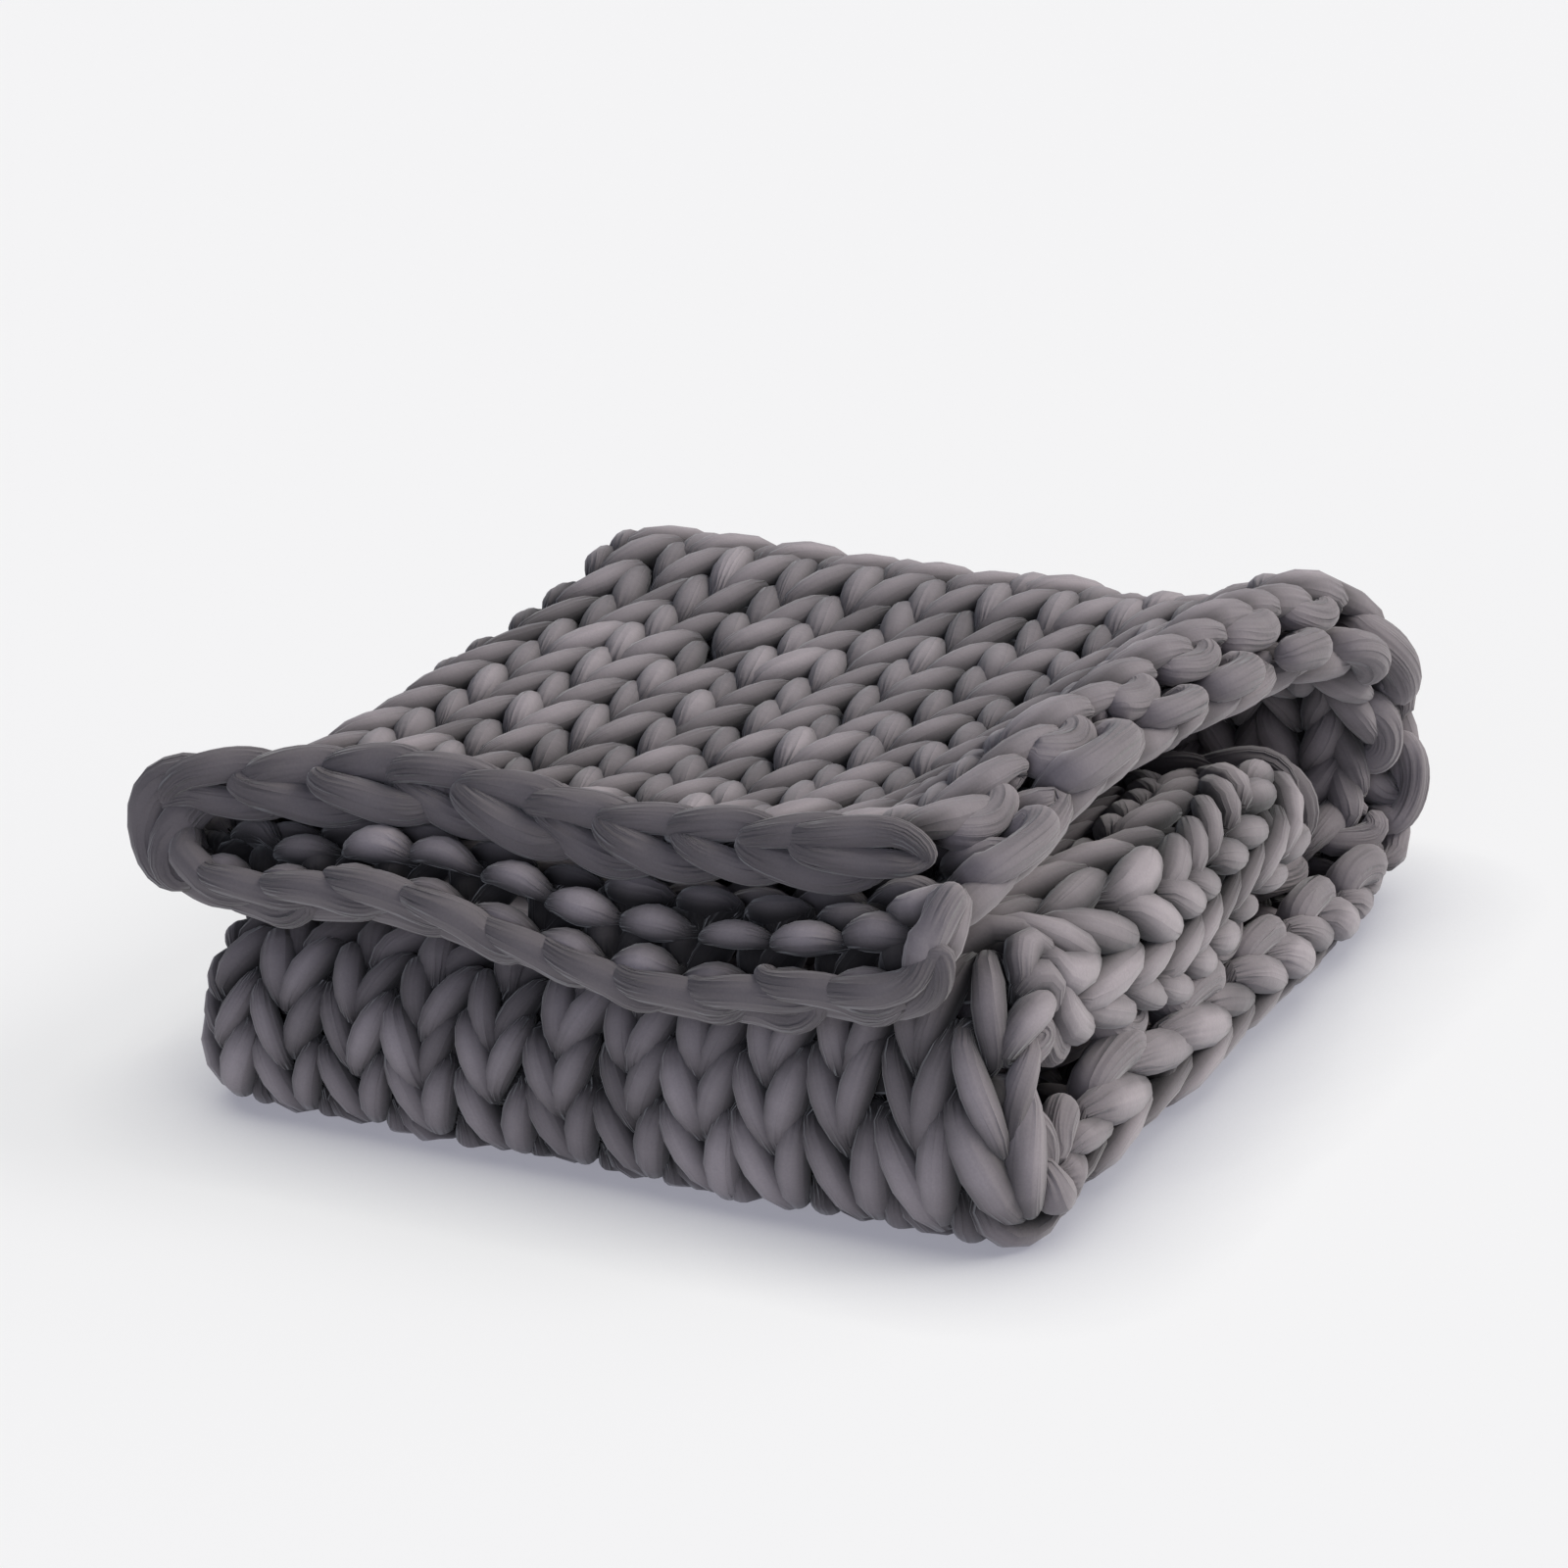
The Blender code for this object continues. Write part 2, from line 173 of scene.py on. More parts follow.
# ---- How far the strand stands out in the open, which sets how much painted light and shade its colour gets
OPEN_AIR = 0.0155           # what counts as the height of the stitches beside a selvage, which paints them lighter
SELVAGE_FROM = 0.55         # wales from the edge where those stitches begin
SELVAGE_BLEND = 0.35        # wales over which they come in
CHAIN_STAND = 0.0128        # what counts as a chain's height, which paints it darker, as it faces away from the light
PURL_STAND = 1.02           # share of its depth by which the purl side counts as standing out, for its painted light and shade

RUNS = (
    # name, first row, last row, steps for each stitch, points round the strand
    ("knit_middle_run", 0, 8, 26, 14),
    ("knit_front_turn", 9, 14, 32, 19),
    ("knit_bottom_run", 15, 24, 22, 12),
    ("knit_back_turn", 25, 30, 28, 15),
    ("knit_top_back", 31, 35, 32, 19),
    ("knit_top_front", 36, 41, 32, 19),
)
CHAINS = (
    # name, course, which way the sheet ends, place along the strand where its links start
    ("chain_cast_on", CAST_ON, 1, 2000.0),
    ("chain_cast_off", CAST_OFF, -1, 2100.0),
)

# ---- Looks: the cotton. A noise is its scale along the strand, its scale round it, its detail.
DARK_COTTON = (0.158, 0.139, 0.150, 1.0)
PALE_COTTON = (0.266, 0.239, 0.248, 1.0)
TONE_NOISE = (1.0, 1.3, 2.0)
PINCHES = 4                 # pinched places to a stitch
FOLD_NOISE = (2.4, 1.5, 1.0)
FOLD_WIDTH = 0.18           # how wide a fold is, in the noise's own measure
LOOSE_FOLDS = 0.2           # share of a fold's depth that is left where the strand is plumpest
PLEAT_NOISE = (2.4, 2.2, 1.0)
PLEAT_WIDTH = 0.20
PLEAT_POWER = 3.0           # how closely the pleats keep to the pinched places
CREASE_POWER = 0.7          # how wide the bottom of a fold or pleat opens; 1 gives straight sides
SOFT_SCALE = 60.0           # scale of the small dents
FUZZ_SCALE = 700.0          # scale of the nap
FINE_DETAIL = 3.0           # detail of the dents and the nap
BUMPS = (
    # strength, distance
    (0.7, 0.0030),          # folds
    (0.5, 0.0018),          # pleats
    (0.35, 0.0020),         # dents
    (0.22, 0.0004),         # nap
)
# Painted light and shade: the cotton's colour is darkened where the strand lies deep between its
# neighbours and at its pinches, and lightened out in the open.
DEEP = 0.003                # height up to which a strand is painted in the dark shade between its neighbours
CLIMB = 0.015               # height above that at which it is painted fully lit, out in the open
OPEN_POWER = 2.0            # how late the painted shade lightens on the way up
OPEN_SHADE = 1.10           # how much colour it gains from the painted dark to the open
DEEP_SHADE = 0.05           # how much colour it keeps under the painted shade in the dark
PINCH_SHADE = 0.20          # how much darker it is painted where it is pinched, as shade in the gathers
JERSEY = {"Roughness": 0.92, "Specular IOR Level": 0.25, "Sheen Weight": 0.20, "Sheen Roughness": 0.45}

# ---- Looks: the floor, the lights and the camera
FLOOR_HALF = 30.0           # half the length of the floor's sides
FLOOR_COLOR = (0.14, 0.14, 0.145, 1.0)
FLOOR_GLOW = 0.735          # light that comes up through the floor, a lit studio table
FLOOR_PAINT = {"Roughness": 0.9, "Specular IOR Level": 0.1, "Emission Strength": FLOOR_GLOW}
SHADE_REACH = 0.105         # how far from the blanket the floor's glow is dimmed, a painted contact shadow
SHADE_LEVEL = 0.32          # share of open sky at which the glow is dimmest, where the painted shadow is darkest
SHADE_COLOR = (0.37, 0.37, 0.43, 1.0)   # what is left of it there, the painted shadow's colour
ROOM_COLOR = (0.86, 0.90, 1.16, 1.0)
ROOM_STRENGTH = 0.14        # light that comes from all round
SUNS = (
    # name, where it stands, strength, width in degrees, colour
    ("ceiling", (0.9, 0.65, 1.0), 2.4, 80, (1.0, 0.985, 0.96)),
    ("key", (1.0, 0.5, 1.0), 2.1, 24, (1.0, 0.975, 0.93)),
    ("window", (0.15, -1.0, 0.28), 1.35, 40, (0.82, 0.87, 1.03)),
)
TARGET = (0.1858 - CENTRE[0], 0.3905 - CENTRE[1], 0.10)     # the point the camera looks at
CAMERA_DISTANCE = 3.904     # how far away it stands
AZIMUTH = math.radians(26.24)   # how far round to the right of the front
ELEVATION = math.radians(20.0)  # how far up
LENS = 139.5                # focal length in millimetres
SENSOR = 36.0               # width of the sensor in millimetres


def fold_column(name):
    """One column of the table of folds, as an array."""
    columns, rows = (PATH_COLUMNS, PATH) if name in PATH_COLUMNS else (LAYER_COLUMNS, LAYERS)
    place = columns.index(name)
    return np.array([row[place] for row in rows.values()], dtype=float)


def smooth_column(name, course):
    """A column's value at any course, on a smooth curve through the rows of the table."""
    knots = fold_column("course")
    values = fold_column(name)
    apart = np.diff(knots)
    rise = np.diff(values) / apart
    inner = (rise[:-1] * apart[1:] + rise[1:] * apart[:-1]) / (apart[:-1] + apart[1:])
    slopes = np.concatenate([rise[:1], inner, rise[-1:]])
    row = np.clip(np.searchsorted(knots, course, side="right") - 1, 0, len(knots) - 2)
    step = apart[row]
    t = (course - knots[row]) / step
    return ((2 * t**3 - 3 * t**2 + 1) * values[row]
            + (t**3 - 2 * t**2 + t) * step * slopes[row]
            + (3 * t**2 - 2 * t**3) * values[row + 1]
            + (t**3 - t**2) * step * slopes[row + 1])


def rolled(distance):
    """How far out and how far over a selvage has gone, this far past its flat part."""
    angle = np.minimum(distance / TURN_RADIUS, TURN_LIMIT)
    straight = np.maximum(distance - TURN_RADIUS * TURN_LIMIT, 0.0)
    out = TURN_RADIUS * np.sin(angle) + straight * np.cos(angle)
    over = TURN_RADIUS * (1.0 - np.cos(angle)) + straight * np.sin(angle)
    return out, over


def roll_width(length):
    """How much of a selvage's reach its roll takes up."""
    widest = np.minimum(length / TURN_RADIUS, math.pi / 2)
    return TURN_RADIUS * np.sin(widest)


def layer_lengths(fold, a, b):
    """Flat part and whole length of each layer, and the radius of the left fold."""
    radius = (a + b) / 2
    quarter = math.pi * radius / 2
    flat_a = fold["reach_a"] - roll_width(fold["roll_a"]) - fold["fold_x"] - radius
    flat_b = fold["reach_b"] - roll_width(fold["roll_b"]) - fold["fold_x"] - radius
    return flat_a, flat_b, fold["roll_a"] + flat_a + quarter, fold["roll_b"] + flat_b + quarter, radius


def cross_section(u, fold, a, b):
    """Place across the strip at u: x, and the distance from the path towards layer A."""
    flat_a, flat_b, length_a, length_b, radius = layer_lengths(fold, a, b)
    from_fold = np.where(u < 0.5, (1 - 2 * u) * length_a, (2 * u - 1) * length_b)
    flat = np.where(u < 0.5, flat_a, flat_b)
    quarter = math.pi * radius / 2
    angle = np.minimum(from_fold / radius, math.pi / 2)
    along_flat = np.clip(from_fold - quarter, 0.0, flat)
    out, over = rolled(np.maximum(from_fold - quarter - flat, 0.0))
    x = fold["fold_x"] + radius - radius * np.cos(angle) + along_flat + out
    height = radius * np.sin(angle) - over
    return x, np.where(u < 0.5, height, -height) + (a - b) / 2


def slipped(u, course):
    """Section of the fold where a course lies: the outer layer has further to go round the back."""
    behind = SLIP * np.clip((course - SLIP_FROM) / (fold_column("course")[-1] - SLIP_FROM), 0.0, None)
    share = np.clip(0.5 + (0.5 - u) / SLIP_WIDTH, 0.0, 1.0)
    return course - behind * (3 * share**2 - 2 * share**3)


def sheet(u, course):
    """Middle of the knitting's thickness, at place u across and this course along."""
    course = slipped(u, course)
    fold = {name: smooth_column(name, course) for name in COLUMNS}
    run_y = smooth_column("y", course + PATH_STEP) - smooth_column("y", course - PATH_STEP)
    run_z = smooth_column("z", course + PATH_STEP) - smooth_column("z", course - PATH_STEP)
    run = np.hypot(run_y, run_z)
    lean = np.radians(fold["lean"])
    out_y = (run_z * np.cos(lean) - run_y * np.sin(lean)) / run
    out_z = (-run_y * np.cos(lean) - run_z * np.sin(lean)) / run

    from_fold = np.clip((np.abs(2 * u - 1) - LEFT_FOLD) / (1 - LEFT_FOLD), 0.0, 1.0)
    right = from_fold**SPREAD_POWER
    droop = fold["sag_b"] * np.exp(-((from_fold - SAG_AT) / SAG_WIDTH) ** 2) * (u > 0.5)
    a = fold["a_l"] * (1 - right) + fold["a_r"] * right
    b = fold["b_l"] * (1 - right) + fold["b_r"] * right + droop
    x, from_path = cross_section(u, fold, a, b)

    share = 1.0 - LEVELLING * np.logaddexp(0.0, (1.0 - x / RAISED_AT) / LEVELLING)
    share = np.maximum(share, 0.0)
    lift = (fold["lift_l"] * (1 - share) ** 2 + fold["lift_r"] * share**EDGE_POWER
            - fold["hollow"] * np.exp(-((share - HOLLOW_AT) / HOLLOW_WIDTH) ** 2)
            + fold["arch"] * np.exp(-((share - ARCH_AT) / ARCH_WIDTH) ** 2))
    y = fold["y"] + out_y * from_path
    z = fold["z"] + out_z * from_path + lift
    return np.stack([x - CENTRE[0], y - CENTRE[1], z], axis=-1)


def unit(vectors):
    """Each vector at length 1."""
    return vectors / np.maximum(np.linalg.norm(vectors, axis=-1, keepdims=True), 1e-9)


def directions(u, course):
    """Which way the knit side faces, which way the courses go on, and how long a course is."""
    ends = fold_column("course")[[0, -1]]
    course = np.clip(course, ends[0] + COURSE_STEP, ends[1] - COURSE_STEP)
    across = sheet(u + SIDE_STEP, course) - sheet(u - SIDE_STEP, course)
    onward = sheet(u, course + COURSE_STEP) - sheet(u, course - COURSE_STEP)
    pitch = np.linalg.norm(onward, axis=-1) / (2 * COURSE_STEP)
    return unit(np.cross(across, onward)), unit(onward), pitch


def across_sheet(wale, course):
    """Place across the sheet of a wale, from 0 to 1, with every wale of a row equally wide."""
    fold = {name: smooth_column(name, course) for name in COLUMNS}
    a = (fold["a_l"] + fold["a_r"]) / 2
    b = (fold["b_l"] + fold["b_r"]) / 2
    length_a, length_b = layer_lengths(fold, a, b)[2:4]
    from_selvage_a = wale / WALES * (length_a + length_b)
    return np.where(from_selvage_a < length_a, 0.5 * from_selvage_a / length_a,
                    0.5 + 0.5 * (from_selvage_a - length_a) / length_b)


def crowded(u, course):
    """Course where a stitch lies, once layer B's last rows are pushed up against the chain."""
    share = np.clip((u - 0.5) / CROWD_WIDTH, 0.0, 1.0)
    start, full, slack, end = CROWD_COURSES
    rise = np.clip((course - start) / (full - start), 0.0, 1.0)
    fall = np.clip((end - course) / (end - slack), 0.0, 1.0)
    return course + CROWDING * (3 * share**2 - 2 * share**3) * rise * fall


def wander(place, seed):
    """Smooth seeded noise along the strand, from -1 to 1, with a new value at each spacing."""
    at = place / DRIFT_SPACING
    key = at.astype(int)
    values = np.random.default_rng(seed).uniform(-1.0, 1.0, key.max() + 2)
    ease = 0.5 - 0.5 * np.cos(math.pi * (at - key))
    return values[key] * (1 - ease) + values[key + 1] * ease


def stitch_row(row, steps):
    """One row of stitches from layer A's selvage to layer B's.

    A line for each point: place along the strand, wale, course, depth and half-width.
    """
    t = np.linspace(-math.pi, (2 * WALES - 1) * math.pi, WALES * steps + 1)
    place = (t + math.pi) / (2 * math.pi)
    wale = 0.5 + t / (2 * math.pi) + SWING * np.sin(2 * t) - CLOSE_UP * np.sin(t)
    course = (FIRST_ROW + row * ROW_STEP
              - (REACH * np.cos(t) - FLATTEN * np.cos(3 * t)) * ROW_STEP)
    depth = -RELIEF * (np.cos(2 * t) - STEEPEN * np.cos(6 * t))
    radius = STRAND + PLUMP * np.cos(4 * t) + TAPER * np.cos(t)
    return np.stack([place, wale, course, depth, radius], axis=-1)


def selvage_turn(line, steps):
    """The strand on its way from the end of this row into the next, round the sheet's edge."""
    place, wale, course, depth, radius = line[-1]
    turn = np.linspace(0.0, math.pi, steps // 2 + 1)[1:-1]
    side = 1.0 if wale > WALES / 2 else -1.0
    return np.stack([place + TURN_PLACE * turn / math.pi,
                     wale + side * SELVAGE_BULGE * np.sin(turn),
                     course + ROW_STEP * (1 - np.cos(turn)) / 2,
                     depth + RELIEF * np.sin(turn),
                     np.full_like(turn, radius)], axis=-1)


def knitted_rows(first, last, steps):
    """Rows first to last as one strand, which runs to and fro across the sheet.

    After the very last row it stops short, with its end under the chain.
    """
    lines = []
    for row in range(first, last + 1):
        line = stitch_row(row, steps)
        if row % 2 == 1:
            line = line[::-1]
            line[:, 0] = WALES - line[:, 0]
        line[:, 0] += row * (WALES + TURN_PLACE)
        lines += [line, selvage_turn(line, steps)]
    if last == RUNS[-1][2]:
        lines.pop()
    strand = np.concatenate(lines)
    strand[:len(ROUND_END), 4] *= ROUND_END
    strand[-len(ROUND_END):, 4] *= ROUND_END[::-1]
    return strand


def uneven(line):
    """The same strand with the small differences between one stitch and the next."""
    place, wale, course, depth, radius = line.T
    return np.stack([place,
                     wale + WALE_DRIFT * wander(place, 1),
                     course + COURSE_DRIFT * wander(place, 2),
                     depth + DEPTH_DRIFT * wander(place, 3),
                     radius * (1 + SIZE_DRIFT * wander(place, 4))], axis=-1)


def chain_links(course, way, start):
    """The closed links along one end; way is 1 where the sheet ends, -1 where it begins.

    Each link starts two stitches further along, so that no two share their random values.
    """
    links = []
    for link in range(WALES):
        t = np.linspace(0.0, 2 * math.pi, LINK_STEPS, endpoint=False)
        middle = min(max(link + 0.5, LINK_REACH - LINK_OVER), WALES - LINK_REACH + LINK_OVER)
        wale = middle + LINK_REACH * np.cos(t)
        dip = LINK_DIP[0] * np.cos(2 * t) + LINK_DIP[1] * np.cos(4 * t)
        out = LINK_STAND * (np.cos(t) - dip)
        gape = LINK_GAPE * (SHUT_GAPE if link == 0 else 1.0)
        depth = gape * np.sin(t) * (1 - LINK_TEARDROP * np.cos(t)) + LINK_TILT * np.cos(t)
        radius = LINK_STRAND * (1 - LINK_PINCH * np.cos(2 * t))
        place = start + 2 * link + t / (2 * math.pi)
        links.append(uneven(np.stack([place, wale, course + way * out, depth, radius], axis=-1)))
    return links


def tube(line, ring, closed):
    """Points of a strand whose oval section lies flat on the sheet, and their heights above it."""
    wale, course, depth, radius = line.T[1:]
    u = across_sheet(wale, course)
    course = crowded(u, course)
    facing, onward, pitch = directions(u, course)
    path = sheet(u, course) + facing * depth[:, None]
    ahead = np.roll(path, -1, axis=0) - np.roll(path, 1, axis=0)
    along = unit(ahead if closed else np.gradient(path, axis=0))
    side = unit(np.cross(along, onward if closed else facing))
    up = np.cross(side, along)
    plump = 1.0 if closed else np.clip(pitch / PITCH, *STRETCHES) ** STRETCH_POWER
    radius = (radius * plump)[:, None]
    angle = np.linspace(0.0, 2 * math.pi, ring, endpoint=False)
    across_way = (radius * np.cos(angle))[..., None] * side[:, None, :]
    up_way = (THIN * radius * np.sin(angle))[..., None] * up[:, None, :]
    points = path[:, None, :] + across_way + up_way
    height = np.einsum("ijk,ik->ij", points - path[:, None, :], facing) + depth[:, None]
    points[..., 2] = np.maximum(points[..., 2], 0.0)
    return points, height


def tube_faces(count, ring, closed):
    """Corner numbers and UV steps of the quads between a tube's rings."""
    rings = count if closed else count - 1
    i, j = np.meshgrid(np.arange(rings), np.arange(ring), indexing="ij")
    corners = [(i, j), (i, j + 1), (i + 1, j + 1), (i + 1, j)]
    quads = np.stack([(a % count) * ring + b % ring for a, b in corners], axis=-1)
    steps = np.stack([np.stack([a, b], axis=-1) for a, b in corners], axis=-2)
    return quads.reshape(-1, 4), steps.reshape(-1, 2)


def heights_for_painted_shade(line, height, closed):
    """How far each point of a strand stands out in the open, from its height on the knit side, which
    sets its painted light and shade.
    """
    if closed:
        return np.full_like(height, CHAIN_STAND)
    selvage = np.abs(line[:, 1] - WALES / 2) - (WALES / 2 - SELVAGE_FROM)
    clear = np.clip(selvage / SELVAGE_BLEND, 0.0, 1.0)[:, None]
    return np.maximum(np.maximum(height, -PURL_STAND * height), OPEN_AIR * clear)


def tube_caps(line, ring, start):
    """Corners of the two end faces of an open tube, and their UVs."""
    last = start + (len(line) - 1) * ring
    corners = [start + np.arange(ring)[::-1], last + np.arange(ring)]
    uvs = np.stack([np.repeat(line[[0, -1], 0], ring), np.zeros(2 * ring)], axis=-1)
    return corners, uvs


def mesh_of(name, lines, ring, closed, material):
    """One mesh object from strands; its UVs are the place along and the way round the strand."""
    verts, stands, quads, uvs, caps, cap_uvs = [], [], [], [], [], []
    start = 0
    for line in lines:
        points, height = tube(line, ring, closed)
        verts.append(points.reshape(-1, 3))
        stands.append(heights_for_painted_shade(line, height, closed).ravel())
        faces, steps = tube_faces(len(line), ring, closed)
        quads.append(start + faces)
        places = np.append(line[:, 0], 2 * line[-1, 0] - line[-2, 0])
        uvs.append(np.stack([places[steps[:, 0]], steps[:, 1] / ring], axis=-1))
        if not closed:
            corners, ends = tube_caps(line, ring, start)
            caps += corners
            cap_uvs.append(ends)
        start += len(line) * ring
    quads = np.concatenate(quads)
    loops = np.concatenate([quads.ravel()] + caps)
    totals = np.repeat([4, ring], [len(quads), len(caps)])

    data = bpy.data.meshes.new(name)
    data.vertices.add(start)
    data.vertices.foreach_set("co", np.concatenate(verts).astype(np.float32).ravel())
    data.loops.add(len(loops))
    data.loops.foreach_set("vertex_index", loops.astype(np.int32))
    data.polygons.add(len(totals))
    data.polygons.foreach_set("loop_start", (np.cumsum(totals) - totals).astype(np.int32))
    data.polygons.foreach_set("loop_total", totals.astype(np.int32))
    layer = data.uv_layers.new(name="strand")
    layer.data.foreach_set("uv", np.concatenate(uvs + cap_uvs).astype(np.float32).ravel())
    data.update(calc_edges=True)
    # Each point's height, which sets the painted light and shade in the cotton's colour.
    stand = data.attributes.new("stand", "FLOAT", "POINT")
    stand.data.foreach_set("value", np.concatenate(stands).astype(np.float32))
    data.materials.append(material)
    data.shade_smooth()
    piece = bpy.data.objects.new(name, data)
    bpy.context.scene.collection.objects.link(piece)
    return piece


class Nodes:
    """A little help with a material's nodes."""

    def __init__(self, material):
        material.use_nodes = True
        self.tree = material.node_tree
        self.shader = self.tree.nodes["Principled BSDF"]

    def new(self, kind, **settings):
        node = self.tree.nodes.new(kind)
        for name, value in settings.items():
            setattr(node, name, value)
        return node

    def link(self, source, target):
        self.tree.links.new(source, target)

    def feed(self, node, values):
        """Sets or links a node's first inputs, in order."""
        for socket, value in zip(node.inputs, values):
            if isinstance(value, (int, float)):
                socket.default_value = value
            else:
                self.link(value, socket)
        return node.outputs[0]

    def math(self, operation, *values):
        return self.feed(self.new("ShaderNodeMath", operation=operation), values)

    def combine(self, *values):
        return self.feed(self.new("ShaderNodeCombineXYZ"), values)

    def noise(self, vector, scale, detail):
        node = self.new("ShaderNodeTexNoise")
        node.inputs["Scale"].default_value = scale
        node.inputs["Detail"].default_value = detail
        self.link(vector, node.inputs["Vector"])
        return node.outputs["Fac"]

    def bump(self, height, strength, distance, normal):
        node = self.new("ShaderNodeBump")
        node.inputs["Strength"].default_value = strength
        node.inputs["Distance"].default_value = distance
        self.link(height, node.inputs["Height"])
        if normal is not None:
            self.link(normal, node.inputs["Normal"])
        return node.outputs["Normal"]


def strand_place(nodes):
    """Place along the strand, and the cosine and sine of the place round it."""
    uv = nodes.new("ShaderNodeUVMap", uv_map="strand").outputs["UV"]
    split = nodes.new("ShaderNodeSeparateXYZ")
    nodes.link(uv, split.inputs[0])
    angle = nodes.math("MULTIPLY", split.outputs["Y"], 2 * math.pi)
    return split.outputs["X"], nodes.math("COSINE", angle), nodes.math("SINE", angle)


def strand_noise(nodes, place, along_scale, round_scale, detail):
    """Noise with its own scales along and round the strand, and no seam."""
    along, cosine, sine = place
    vector = nodes.combine(nodes.math("MULTIPLY", along, along_scale),
                           nodes.math("MULTIPLY", cosine, round_scale),
                           nodes.math("MULTIPLY", sine, round_scale))
    return nodes.noise(vector, 1.0, detail)


def creases(nodes, place, noise, width):
    """1 on flat ground, falling to 0 where the noise crosses its middle value."""
    value = strand_noise(nodes, place, *noise)
    away = nodes.math("ABSOLUTE", nodes.math("SUBTRACT", value, 0.5))
    flat = nodes.math("MINIMUM", nodes.math("DIVIDE", away, width), 1.0)
    return nodes.math("POWER", flat, CREASE_POWER)


def pinched(nodes, along):
    """1 where the strand is pinched, 0 where it is plumpest."""
    swell = nodes.math("COSINE", nodes.math("MULTIPLY", along, 2 * math.pi * PINCHES))
    return nodes.math("SUBTRACT", 0.5, nodes.math("MULTIPLY", swell, 0.5))


def jersey_normal(nodes, place, pinch, soft, fuzz):
    """Folds along the strand, pleats towards its pinched places, dents and nap."""
    held = nodes.math("ADD", nodes.math("MULTIPLY", pinch, 1.0 - LOOSE_FOLDS), LOOSE_FOLDS)
    folds = nodes.math("MULTIPLY", creases(nodes, place, FOLD_NOISE, FOLD_WIDTH), held)
    gathered = nodes.math("POWER", pinch, PLEAT_POWER)
    pleats = nodes.math("MULTIPLY", creases(nodes, place, PLEAT_NOISE, PLEAT_WIDTH), gathered)
    normal = None
    for height, (strength, distance) in zip((folds, pleats, soft, fuzz), BUMPS):
        normal = nodes.bump(height, strength, distance, normal)
    return normal


def painted_light_and_shade(nodes, pinch):
    """How much painted light and shade the strand gets: painted dark between its neighbours and at its
    pinches, full colour out in the open.
    """
    stand = nodes.new("ShaderNodeAttribute", attribute_name="stand").outputs["Fac"]
    climbed = nodes.math("DIVIDE", nodes.math("SUBTRACT", stand, DEEP), CLIMB)
    climbed = nodes.math("MINIMUM", nodes.math("MAXIMUM", climbed, 0.0), 1.0)
    climbed = nodes.math("POWER", climbed, OPEN_POWER)
    light = nodes.math("ADD", nodes.math("MULTIPLY", climbed, OPEN_SHADE), DEEP_SHADE)
    dimmed = nodes.math("SUBTRACT", 1.0, nodes.math("MULTIPLY", pinch, PINCH_SHADE))
    return nodes.math("MULTIPLY", light, dimmed)


def jersey_color(nodes, place, pinch, fuzz):
    """Mottled grey cotton, times the painted light and shade of how open to the light it lies."""
    tone = strand_noise(nodes, place, *TONE_NOISE)
    mottle = nodes.math("ADD", nodes.math("MULTIPLY", tone, 0.5), nodes.math("MULTIPLY", fuzz, 0.5))
    cotton = nodes.new("ShaderNodeMix", data_type="RGBA")
    cotton.inputs["A"].default_value = DARK_COTTON
    cotton.inputs["B"].default_value = PALE_COTTON
    nodes.link(mottle, cotton.inputs["Factor"])
    light = painted_light_and_shade(nodes, pinch)
    shaded = nodes.new("ShaderNodeMix", data_type="RGBA", blend_type="MULTIPLY")
    shaded.inputs["Factor"].default_value = 1.0
    nodes.link(cotton.outputs["Result"], shaded.inputs["A"])
    nodes.link(nodes.combine(light, light, light), shaded.inputs["B"])
    return shaded.outputs["Result"]


def set_inputs(shader, values):
    """Plain values on a shader's own sockets."""
    for socket, value in values.items():
        shader.inputs[socket].default_value = value


def jersey_material():
    """Matt cotton jersey, with gathers that run along the strand towards its pinched places."""
    material = bpy.data.materials.new("cotton_jersey")
    nodes = Nodes(material)
    place = strand_place(nodes)
    pinch = pinched(nodes, place[0])
    spot = nodes.new("ShaderNodeTexCoord").outputs["Object"]
    soft = nodes.noise(spot, SOFT_SCALE, FINE_DETAIL)
    fuzz = nodes.noise(spot, FUZZ_SCALE, FINE_DETAIL)
    nodes.link(jersey_normal(nodes, place, pinch, soft, fuzz), nodes.shader.inputs["Normal"])
    nodes.link(jersey_color(nodes, place, pinch, fuzz), nodes.shader.inputs["Base Color"])
    set_inputs(nodes.shader, JERSEY)
    return material


def make_blanket():
    """Every run of knitting and the two chains, all standing for the one CAD solid."""
    material = jersey_material()
    pieces = []
    for name, first, last, steps, ring in RUNS:
        strand = uneven(knitted_rows(first, last, steps))
        pieces.append(mesh_of(name, [strand], ring, False, material))
    for name, course, way, start in CHAINS:
        pieces.append(mesh_of(name, chain_links(course, way, start), LINK_RING, True, material))
    for piece in pieces:
        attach(piece, "root")
        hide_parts("blanket")


def floor_material():
    """Pale, matt and lit from below, with a painted contact shadow where the glow is dimmed close to
    the blanket.
    """
    material = bpy.data.materials.new("floor_paint")
    nodes = Nodes(material)
    # Painted contact shadow: the glow is dimmed by the floor's ambient occlusion near the blanket.
    sky = nodes.new("ShaderNodeAmbientOcclusion")
    sky.inputs["Distance"].default_value = SHADE_REACH
    shade = nodes.new("ShaderNodeValToRGB")
    shade.color_ramp.elements[0].position = SHADE_LEVEL
    shade.color_ramp.elements[0].color = SHADE_COLOR
    nodes.link(sky.outputs["AO"], shade.inputs["Fac"])
    nodes.link(shade.outputs["Color"], nodes.shader.inputs["Emission Color"])
    nodes.shader.inputs["Base Color"].default_value = FLOOR_COLOR
    set_inputs(nodes.shader, FLOOR_PAINT)
    return material


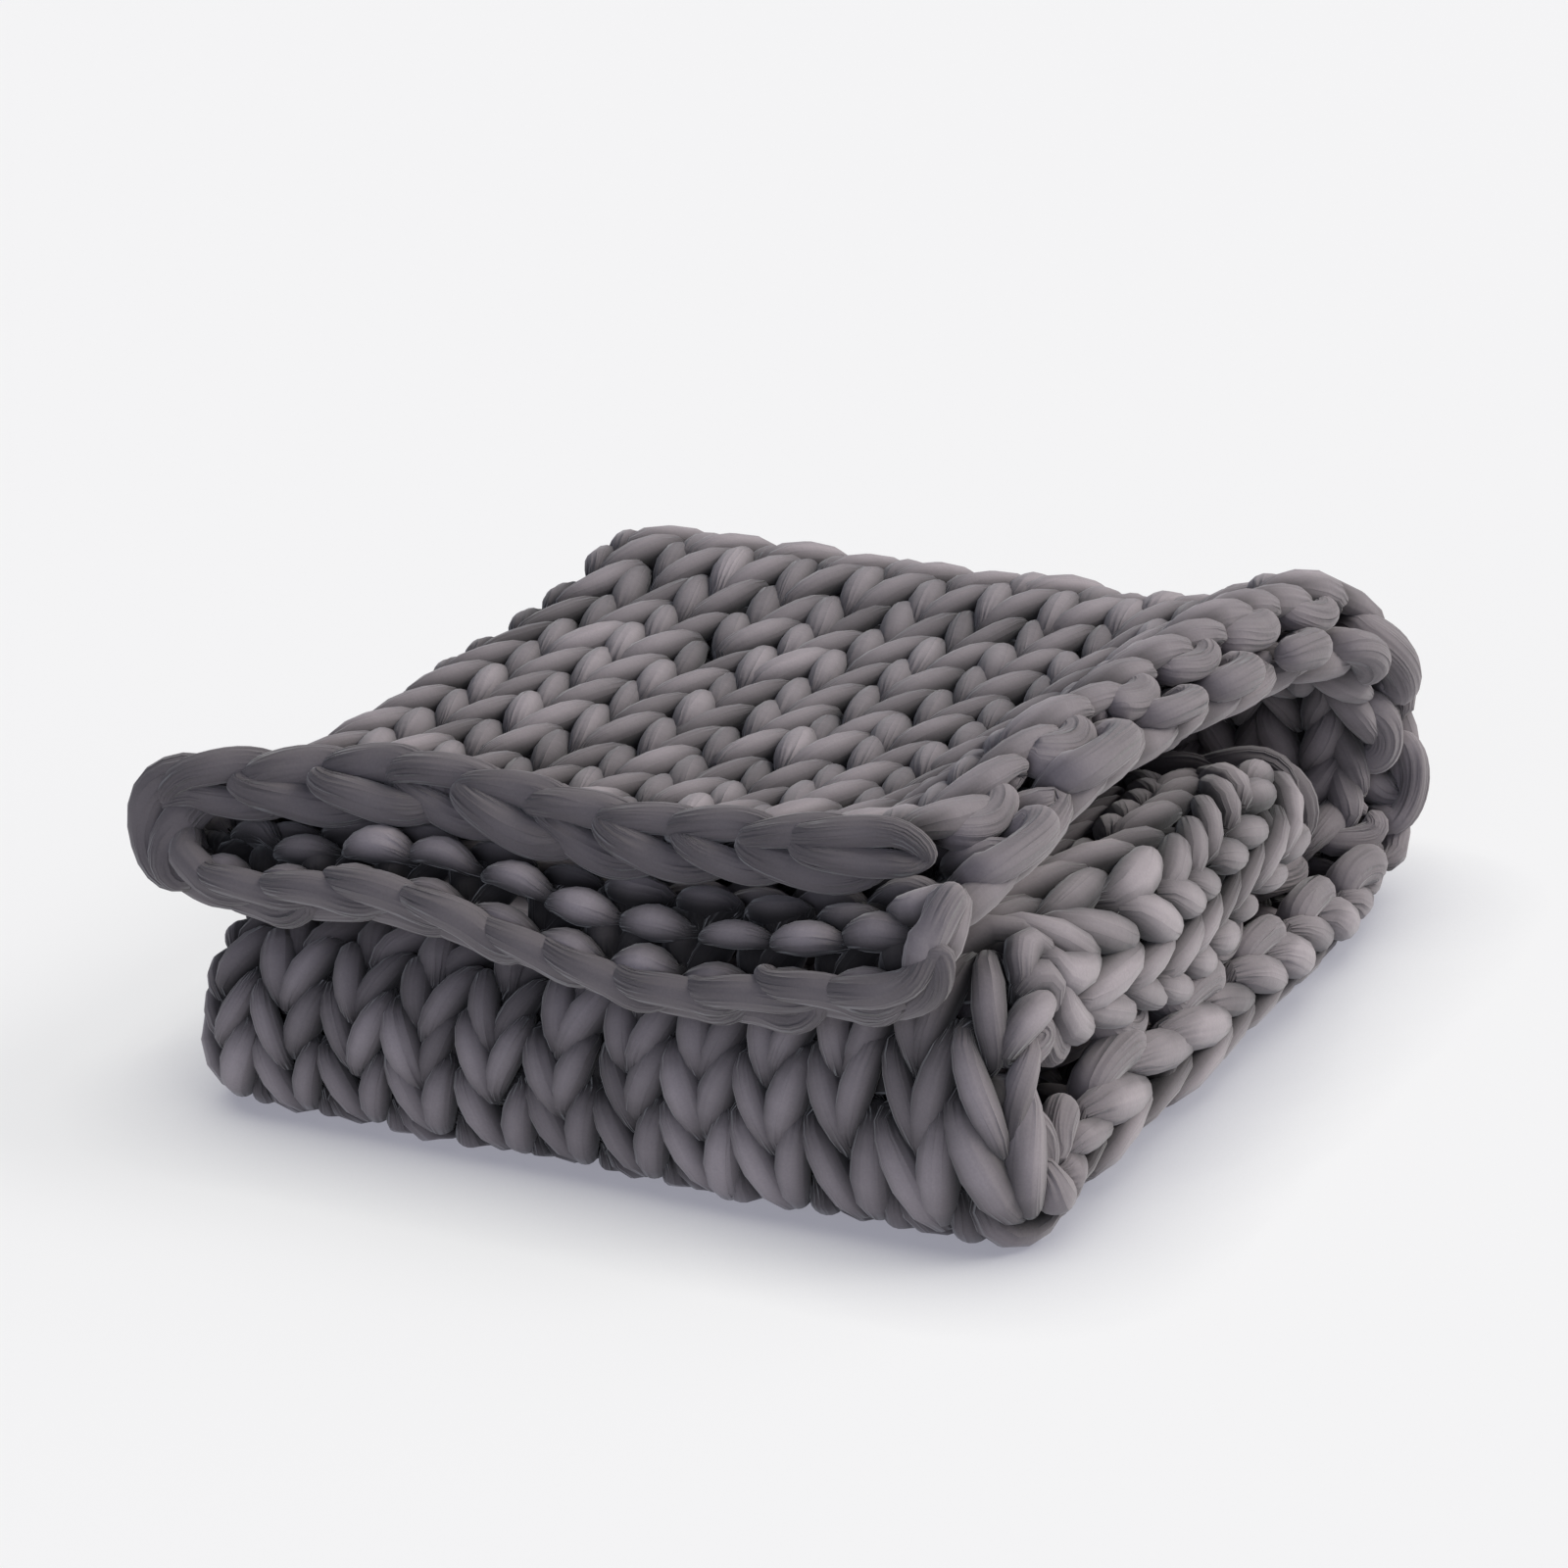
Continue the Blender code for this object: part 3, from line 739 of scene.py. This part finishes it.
def make_floor():
    """A pale floor that runs past everything the camera sees."""
    data = bpy.data.meshes.new("floor")
    corners = [(-FLOOR_HALF, -FLOOR_HALF, 0), (FLOOR_HALF, -FLOOR_HALF, 0),
               (FLOOR_HALF, FLOOR_HALF, 0), (-FLOOR_HALF, FLOOR_HALF, 0)]
    data.from_pydata(corners, [], [(0, 1, 2, 3)])
    data.materials.append(floor_material())
    floor = bpy.data.objects.new("floor", data)
    bpy.context.scene.collection.objects.link(floor)


def aim(thing, target):
    """Turns a camera or light towards a point."""
    way = Vector(target) - thing.location
    thing.rotation_euler = way.to_track_quat("-Z", "Y").to_euler()


def make_sun(name, place, strength, width, color):
    """A broad, soft light from far away, so that it lights the floor evenly."""
    data = bpy.data.lights.new(name, "SUN")
    data.energy = strength
    data.angle = width
    data.color = color
    light = bpy.data.objects.new(name, data)
    light.location = place
    bpy.context.scene.collection.objects.link(light)
    aim(light, (0.0, 0.0, 0.0))


def make_lights():
    """A pale room, two lights from above, right and behind, and a bluish one low in front."""
    world = bpy.data.worlds.new("studio")
    world.use_nodes = True
    sky = world.node_tree.nodes["Background"]
    sky.inputs["Color"].default_value = ROOM_COLOR
    sky.inputs["Strength"].default_value = ROOM_STRENGTH
    bpy.context.scene.world = world
    for name, place, strength, width, color in SUNS:
        make_sun(name, place, strength, math.radians(width), color)


def make_camera():
    """The photo's view: from the front right, a little above."""
    data = bpy.data.cameras.new("camera")
    data.lens = LENS
    data.sensor_width = SENSOR
    camera = bpy.data.objects.new("camera", data)
    back = Vector((math.sin(AZIMUTH) * math.cos(ELEVATION),
                   -math.cos(AZIMUTH) * math.cos(ELEVATION), math.sin(ELEVATION)))
    camera.location = Vector(TARGET) + CAMERA_DISTANCE * back
    bpy.context.scene.collection.objects.link(camera)
    aim(camera, TARGET)
    bpy.context.scene.camera = camera


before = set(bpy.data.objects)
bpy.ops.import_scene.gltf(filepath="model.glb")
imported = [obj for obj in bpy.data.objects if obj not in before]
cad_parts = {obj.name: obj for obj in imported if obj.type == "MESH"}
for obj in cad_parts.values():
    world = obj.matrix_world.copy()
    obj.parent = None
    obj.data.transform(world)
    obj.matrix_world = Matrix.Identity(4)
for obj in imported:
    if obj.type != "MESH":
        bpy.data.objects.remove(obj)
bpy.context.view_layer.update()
make_camera()
make_blanket()
make_floor()
make_lights()
bpy.context.scene.view_settings.view_transform = "Standard"
